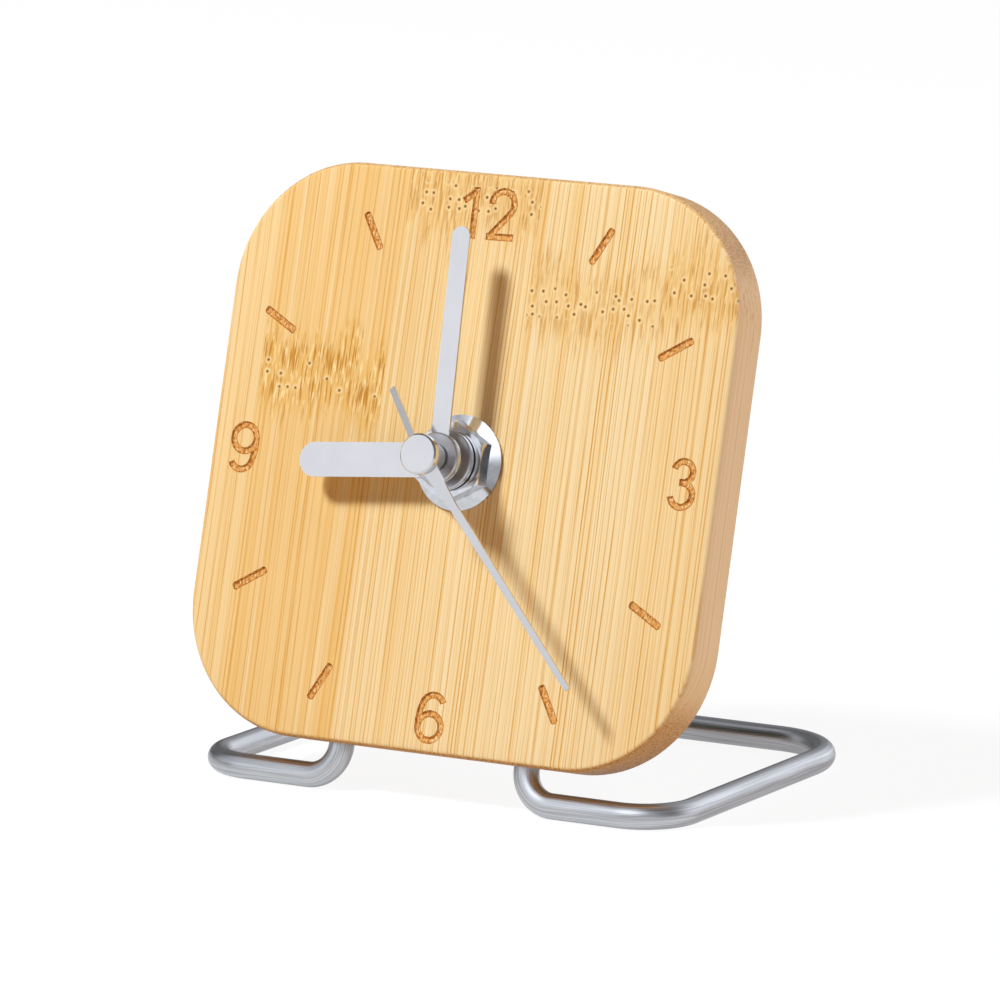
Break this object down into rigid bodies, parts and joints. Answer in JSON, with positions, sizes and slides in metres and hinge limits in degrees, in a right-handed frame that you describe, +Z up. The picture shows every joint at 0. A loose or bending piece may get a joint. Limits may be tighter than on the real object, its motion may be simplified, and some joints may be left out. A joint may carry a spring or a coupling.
{
  "type": "desk clock",
  "caption": "Square bamboo desk clock with rounded corners and engraved numerals, leaning on a bent steel wire stand, with flat metal hands and a battery quartz movement behind.",
  "frame": {"origin": "on the table, under the middle of the clock's box at the pictured time", "axes": "+X to the right of the dial as it is read, +Y to the back, +Z up"},
  "size_m": [0.09, 0.0682, 0.0949],
  "materials": {
    "bamboo": "oiled, laser-engraved",
    "steel_wire": "satin",
    "chrome_nut": "bright plated",
    "hand_aluminium": "matt anodised",
    "collet_nickel": "nickel plated, satin",
    "bush_brass": "turned and threaded",
    "washer_rubber": "matt",
    "case_plastic": "moulded, fine spark texture",
    "wheel_plastic": "moulded acetal",
    "arbor_steel": "drawn",
    "soft_iron": "stamped",
    "rotor_ferrite": "sintered",
    "coil_copper": "enamelled wire",
    "circuit_green": "solder mask",
    "chip_resin": "cast resin",
    "crystal_can": "tinned can",
    "contact_spring": "nickel plated",
    "battery_film": "plain plastic film over a steel can"
  },
  "bodies": {
    "clock": {"dial_board": "bamboo", "wire_stand": "steel_wire", "threaded_bush": "bush_brass", "hand_nut": "chrome_nut", "rubber_washer": "washer_rubber", "movement_case": "case_plastic", "train_plate": "wheel_plastic", "rear_cover": "case_plastic", "stator": "soft_iron", "coil_core": "soft_iron", "coil_bobbin": "wheel_plastic", "coil_winding": "coil_copper", "circuit_board": "circuit_green", "clock_chip": "chip_resin", "quartz_crystal": "crystal_can", "battery": "battery_film", "positive_contact": "contact_spring", "negative_contact": "contact_spring"},
    "second_work": {"second_hand": "hand_aluminium", "second_hand_cap": "hand_aluminium", "second_hand_boss": "collet_nickel", "second_arbor": "arbor_steel", "second_wheel": "wheel_plastic"},
    "minute_work": {"minute_hand": "hand_aluminium", "minute_hand_collet": "collet_nickel", "cannon_pinion": "wheel_plastic", "clutch_spring": "arbor_steel"},
    "hour_work": {"hour_hand": "hand_aluminium", "hour_hand_collet": "collet_nickel", "hour_wheel": "wheel_plastic"},
    "setting_work": {"minute_wheel": "wheel_plastic", "setting_knob": "case_plastic"},
    "centre_work": {"centre_wheel": "wheel_plastic"},
    "third_work": {"third_wheel": "wheel_plastic"},
    "step_work": {"step_wheel": "wheel_plastic"},
    "rotor_work": {"rotor_pinion": "wheel_plastic", "rotor_magnet": "rotor_ferrite"}
  },
  "joints": [
    {"name": "second_hand_turn", "type": "hinge", "parent": "clock", "child": "second_work", "pos_m": [0, -0.0181, 0.05166], "axis": [0, 0.9643, -0.2647], "continuous": true},
    {"name": "minute_hand_turn", "type": "hinge", "parent": "clock", "child": "minute_work", "pos_m": [0, -0.0181, 0.05166], "axis": [0, 0.9643, -0.2647], "continuous": true},
    {"name": "hour_hand_turn", "type": "hinge", "parent": "clock", "child": "hour_work", "pos_m": [0, -0.0181, 0.05166], "axis": [0, 0.9643, -0.2647], "continuous": true},
    {"name": "setting_knob_turn", "type": "hinge", "parent": "clock", "child": "setting_work", "pos_m": [0.01056, -0.01786, 0.05255], "axis": [0, 0.9643, -0.2647], "continuous": true},
    {"name": "centre_wheel_turn", "type": "hinge", "parent": "clock", "child": "centre_work", "pos_m": [0, -0.0181, 0.05166], "axis": [0, 0.9643, -0.2647], "continuous": true},
    {"name": "third_wheel_turn", "type": "hinge", "parent": "clock", "child": "third_work", "pos_m": [-0.00902, -0.01723, 0.05483], "axis": [0, 0.9643, -0.2647], "continuous": true},
    {"name": "step_wheel_turn", "type": "hinge", "parent": "clock", "child": "step_work", "pos_m": [0.0017, -0.01555, 0.06097], "axis": [0, 0.9643, -0.2647], "continuous": true},
    {"name": "rotor_turn", "type": "hinge", "parent": "clock", "child": "rotor_work", "pos_m": [0.00794, -0.0146, 0.06444], "axis": [0, 0.9643, -0.2647], "continuous": true}
  ],
  "couplings": [
    {"joint": "hour_hand_turn", "follows": "minute_hand_turn", "ratio": 0.083333},
    {"joint": "setting_knob_turn", "follows": "minute_hand_turn", "ratio": -0.33333},
    {"joint": "third_wheel_turn", "follows": "second_hand_turn", "ratio": -0.13333},
    {"joint": "centre_wheel_turn", "follows": "second_hand_turn", "ratio": 0.016667},
    {"joint": "step_wheel_turn", "follows": "second_hand_turn", "ratio": -6},
    {"joint": "rotor_turn", "follows": "second_hand_turn", "ratio": 30}
  ]
}
